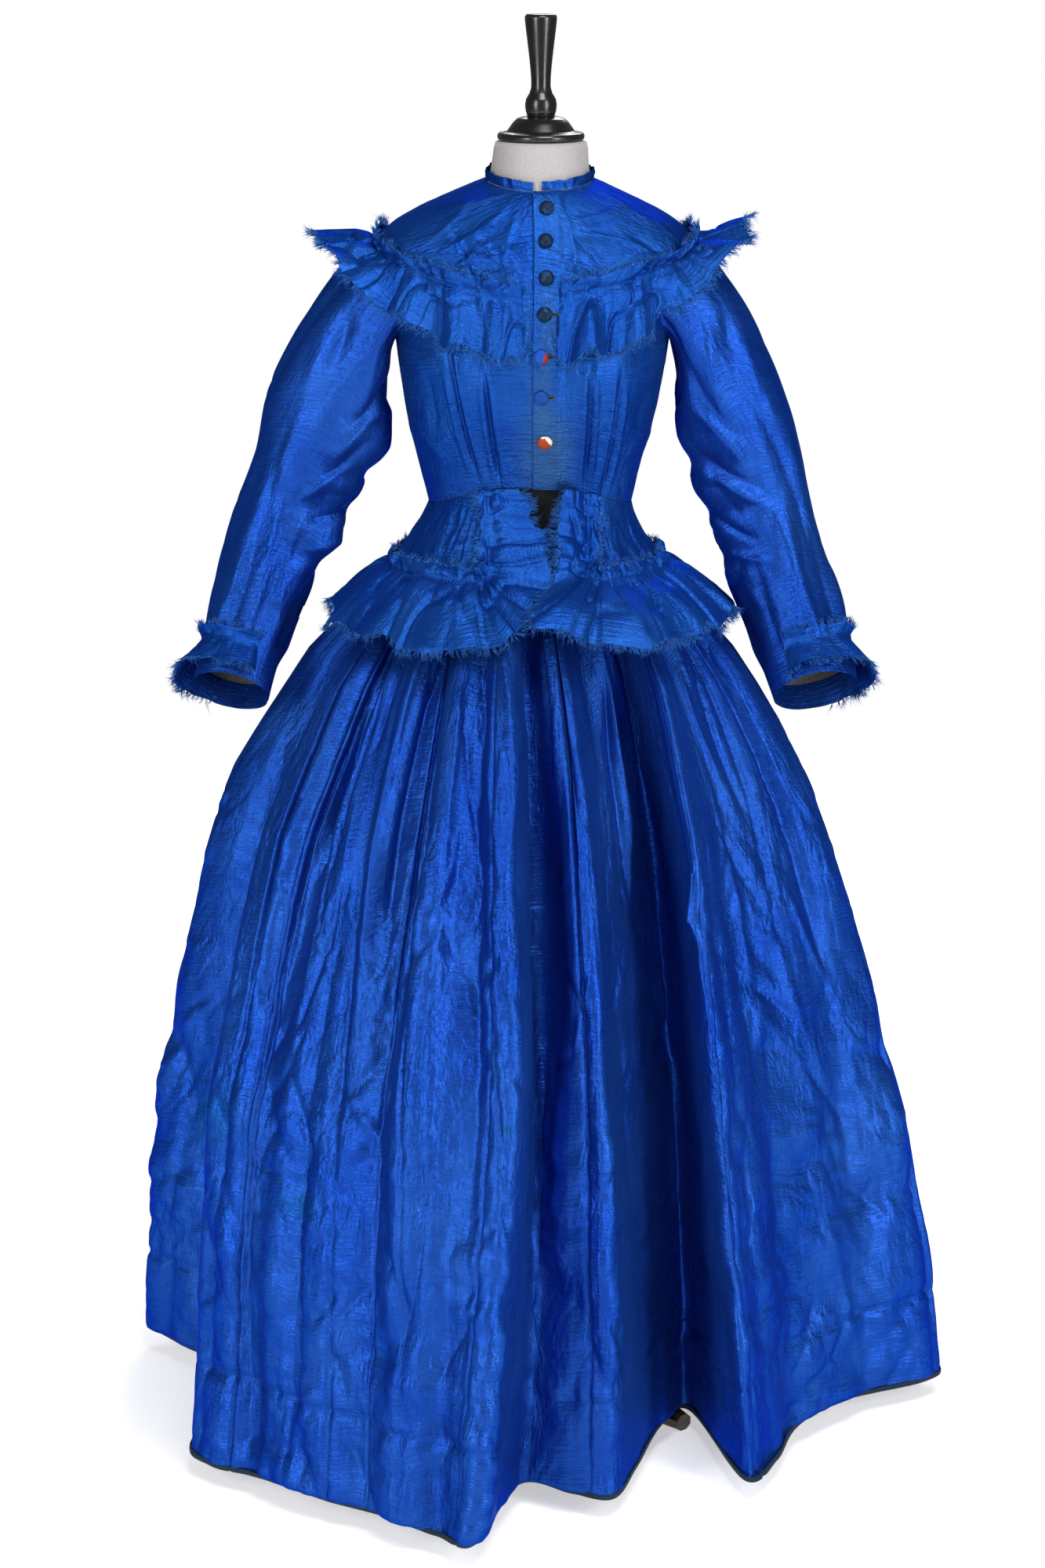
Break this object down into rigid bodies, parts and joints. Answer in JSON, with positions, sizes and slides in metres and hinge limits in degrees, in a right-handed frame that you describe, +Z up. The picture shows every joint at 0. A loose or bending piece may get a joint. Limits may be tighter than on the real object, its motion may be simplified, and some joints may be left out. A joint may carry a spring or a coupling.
{
  "type": "taffeta gown on dress form",
  "caption": "Long-sleeved buttoned taffeta bodice with frayed frills and a short flared peplum over a full gathered skirt, standing on a turned dress form and floor stand.",
  "frame": {"origin": "on the floor, below the middle of the whole", "axes": "+Z up along the form's pole, -Y towards the gown's front, +X towards the wearer's left"},
  "size_m": [0.9312, 1.023, 1.5701],
  "materials": {
    "taffeta": "crisp royal blue silk taffeta, crinkled, with a soft sheen along its folds",
    "frill": "the same silk, slightly faded, with frayed edges",
    "binding": "dark woollen hem braid",
    "band": "matt black tape",
    "button_silk": "domed buttons covered in worn silk",
    "linen": "pale grey linen stretched over a padded form",
    "black_wood": "ebonised turned wood, half gloss, worn on its edges"
  },
  "bodies": {
    "root": {"form_body": "linen", "form_neck_cap": "black_wood", "form_finial": "black_wood", "stand_pole": "black_wood", "stand_hub": "black_wood", "stand_leg_1": "black_wood", "stand_leg_2": "black_wood", "stand_leg_3": "black_wood", "bodice_front_right": "taffeta", "bodice_front_left": "taffeta", "bodice_back": "taffeta", "neckband": "taffeta", "sleeve_right": "taffeta", "sleeve_left": "taffeta", "cuff_frill_right": "frill", "cuff_frill_right_edge_fray": "frill", "cuff_frill_left": "frill", "cuff_frill_left_edge_fray": "frill", "yoke_frill_left": "frill", "yoke_frill_left_edge_fray": "frill", "yoke_frill_left_heading_fray": "frill", "yoke_frill_right": "frill", "yoke_frill_right_edge_fray": "frill", "yoke_frill_right_heading_fray": "frill", "waistband": "band", "peplum_left": "taffeta", "peplum_right": "taffeta", "peplum_frill_left": "frill", "peplum_frill_left_edge_fray": "frill", "peplum_frill_right": "frill", "peplum_frill_right_edge_fray": "frill", "skirt_front_right": "taffeta", "skirt_front_centre": "taffeta", "skirt_front_left": "taffeta", "skirt_side_left": "taffeta", "skirt_back_left": "taffeta", "skirt_back_right": "taffeta", "skirt_side_right": "taffeta", "hem_binding": "binding", "button_1": "button_silk", "button_2": "button_silk", "button_3": "button_silk", "button_4": "button_silk", "button_5": "button_silk", "button_6": "button_silk", "button_7": "button_silk"}
  },
  "joints": []
}
